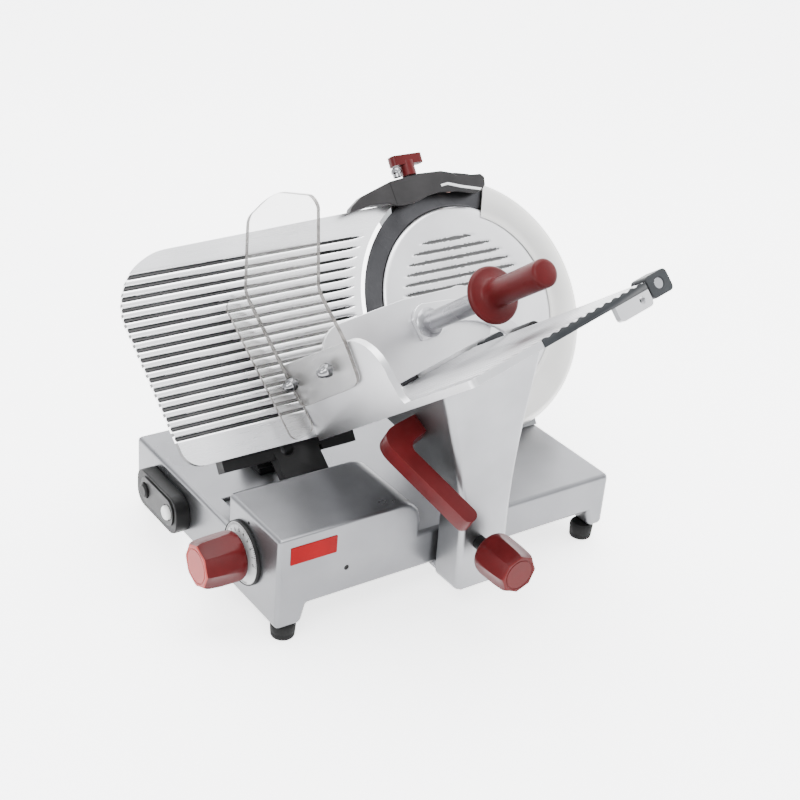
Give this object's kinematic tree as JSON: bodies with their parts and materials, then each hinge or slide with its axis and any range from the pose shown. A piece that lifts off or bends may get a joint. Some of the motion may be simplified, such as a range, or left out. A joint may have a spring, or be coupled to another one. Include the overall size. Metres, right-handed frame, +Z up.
{
  "type": "deli meat slicer",
  "caption": "Gravity-feed deli slicer: tilted round blade, ribbed gauge plate, sliding tray with pusher and clear hand guard, on a cast base.",
  "frame": {"origin": "centre of the whole slicer's box, on the table that the feet stand on", "axes": "+X along the carriage's travel from the gauge plate towards the blade, +Y from the operator to the rear, +Z up"},
  "size_m": [0.6104, 0.4726, 0.4543],
  "materials": {
    "cast_aluminium": "satin brushed, lacquered",
    "bright_aluminium": "brushed and anodised",
    "ground_steel": "ground",
    "blade_steel": "dark polished bevel",
    "chrome": "polished",
    "red_plastic": "satin moulded",
    "dark_grey_plastic": "matt moulded",
    "black_plastic": "matt moulded",
    "black_rubber": "matt",
    "white_plastic": "satin",
    "clear_plastic": "clear polycarbonate",
    "bronze": "machined",
    "grinding_stone": "abrasive",
    "copper_winding": "wound wire",
    "circuit_board": "lacquered board"
  },
  "bodies": {
    "frame": {"base_casting": "cast_aluminium", "bottom_cover": "bright_aluminium", "foot_front_left": "black_rubber", "foot_front_right": "black_rubber", "foot_rear_left": "black_rubber", "foot_rear_right": "black_rubber", "control_board": "circuit_board", "cable_gland": "black_plastic", "switch_housing": "black_plastic", "switch_face_plate": "dark_grey_plastic", "gauge_support_post": "black_plastic", "gauge_guide_rod": "ground_steel", "ring_guard": "bright_aluminium", "blade_cover": "bright_aluminium", "drive_housing": "cast_aluminium", "motor_mount_plate": "cast_aluminium", "motor_casing": "cast_aluminium", "motor_stator": "copper_winding", "blade_bearing": "ground_steel", "drive_belt": "black_rubber", "sharpener_body": "dark_grey_plastic", "carriage_rod": "ground_steel", "guide_rod": "ground_steel"},
    "thickness_control": {"thickness_knob": "red_plastic", "dial_ring": "white_plastic", "knob_shaft": "ground_steel", "gauge_cam": "bronze"},
    "gauge": {"gauge_plate": "bright_aluminium", "gauge_carrier": "black_plastic"},
    "blade_assembly": {"blade": "blade_steel", "blade_shaft": "ground_steel", "blade_pulley": "bright_aluminium"},
    "motor_shaft": {"motor_rotor": "ground_steel", "motor_pulley": "bright_aluminium"},
    "cover_release": {"cover_release_knob": "red_plastic"},
    "sharpener": {"sharpener_cover": "dark_grey_plastic", "grinding_stone": "grinding_stone", "honing_stone": "grinding_stone"},
    "sharpener_lift_knob": {"sharpener_knob": "red_plastic"},
    "honing_plunger": {"honing_button": "chrome"},
    "carriage": {"slider_block": "cast_aluminium", "slider_bush_left": "bronze", "slider_bush_right": "bronze", "carriage_arm": "cast_aluminium", "carriage_handle": "red_plastic", "food_tray": "bright_aluminium", "hand_guard": "clear_plastic", "guard_bolt_1": "chrome", "guard_bolt_2": "chrome", "rod_bracket_rear": "dark_grey_plastic", "rod_bracket_front": "dark_grey_plastic", "pusher_rod": "ground_steel"},
    "carriage_lock": {"carriage_lock_knob": "red_plastic"},
    "pusher_slider": {"pusher_sleeve": "black_plastic"},
    "pusher": {"pusher_arm": "bright_aluminium", "pusher_plate": "bright_aluminium", "pusher_stem": "bright_aluminium", "pusher_grip": "red_plastic"},
    "start": {"start_button": "black_plastic"},
    "stop": {"stop_button": "white_plastic"}
  },
  "joints": [
    {"name": "carriage_slide", "type": "slide", "parent": "frame", "child": "carriage", "axis": [1, 0, 0], "range_m": [-0.163, 0.16]},
    {"name": "thickness_turn", "type": "hinge", "parent": "frame", "child": "thickness_control", "pos_m": [-0.2482, -0.04931, 0.077], "axis": [1, 0, 0], "range_deg": [0, 270]},
    {"name": "gauge_slide", "type": "slide", "parent": "frame", "child": "gauge", "axis": [0, 0.808, -0.5892], "range_m": [0, 0.015]},
    {"name": "blade_spin", "type": "hinge", "parent": "frame", "child": "blade_assembly", "pos_m": [0.1452, 0.09659, 0.2283], "axis": [0, -0.808, 0.5892], "continuous": true},
    {"name": "motor_spin", "type": "hinge", "parent": "frame", "child": "motor_shaft", "pos_m": [0.2232, 0.09364, 0.22426], "axis": [0, -0.808, 0.5892], "continuous": true},
    {"name": "cover_release_turn", "type": "hinge", "parent": "frame", "child": "cover_release", "pos_m": [0.1452, 0.09659, 0.2283], "axis": [0, -0.808, 0.5892], "continuous": true},
    {"name": "sharpener_drop", "type": "slide", "parent": "frame", "child": "sharpener", "axis": [0, -0.5892, -0.808], "range_m": [0, 0.006]},
    {"name": "sharpener_knob_turn", "type": "hinge", "parent": "sharpener", "child": "sharpener_lift_knob", "pos_m": [0.1002, 0.19456, 0.37963], "axis": [0, 0.5892, 0.808], "range_deg": [-90, 90]},
    {"name": "honing_press", "type": "slide", "parent": "sharpener", "child": "honing_plunger", "axis": [0, -0.5892, -0.808], "range_m": [0, 0.0025], "stiffness_N_per_m": 500},
    {"name": "carriage_lock_turn", "type": "hinge", "parent": "carriage", "child": "carriage_lock", "pos_m": [-0.0262, -0.16531, 0.09], "axis": [0, -1, 0], "range_deg": [-360, 0]},
    {"name": "pusher_slide", "type": "slide", "parent": "carriage", "child": "pusher_slider", "axis": [0, -0.808, 0.5892], "range_m": [-0.036, 0.19]},
    {"name": "pusher_swing", "type": "hinge", "parent": "pusher_slider", "child": "pusher", "pos_m": [0.14265, 0.05978, 0.18625], "axis": [0, -0.808, 0.5892], "range_deg": [-110, 0]},
    {"name": "start_press", "type": "slide", "parent": "frame", "child": "start", "axis": [1, 0, 0], "range_m": [0, 0.003], "stiffness_N_per_m": 500},
    {"name": "stop_press", "type": "slide", "parent": "frame", "child": "stop", "axis": [1, 0, 0], "range_m": [0, 0.003], "stiffness_N_per_m": 500}
  ],
  "couplings": [
    {"joint": "thickness_turn", "follows": "gauge_slide", "rad_per_m": 314.16},
    {"joint": "motor_spin", "follows": "blade_spin", "ratio": 2.6667}
  ]
}
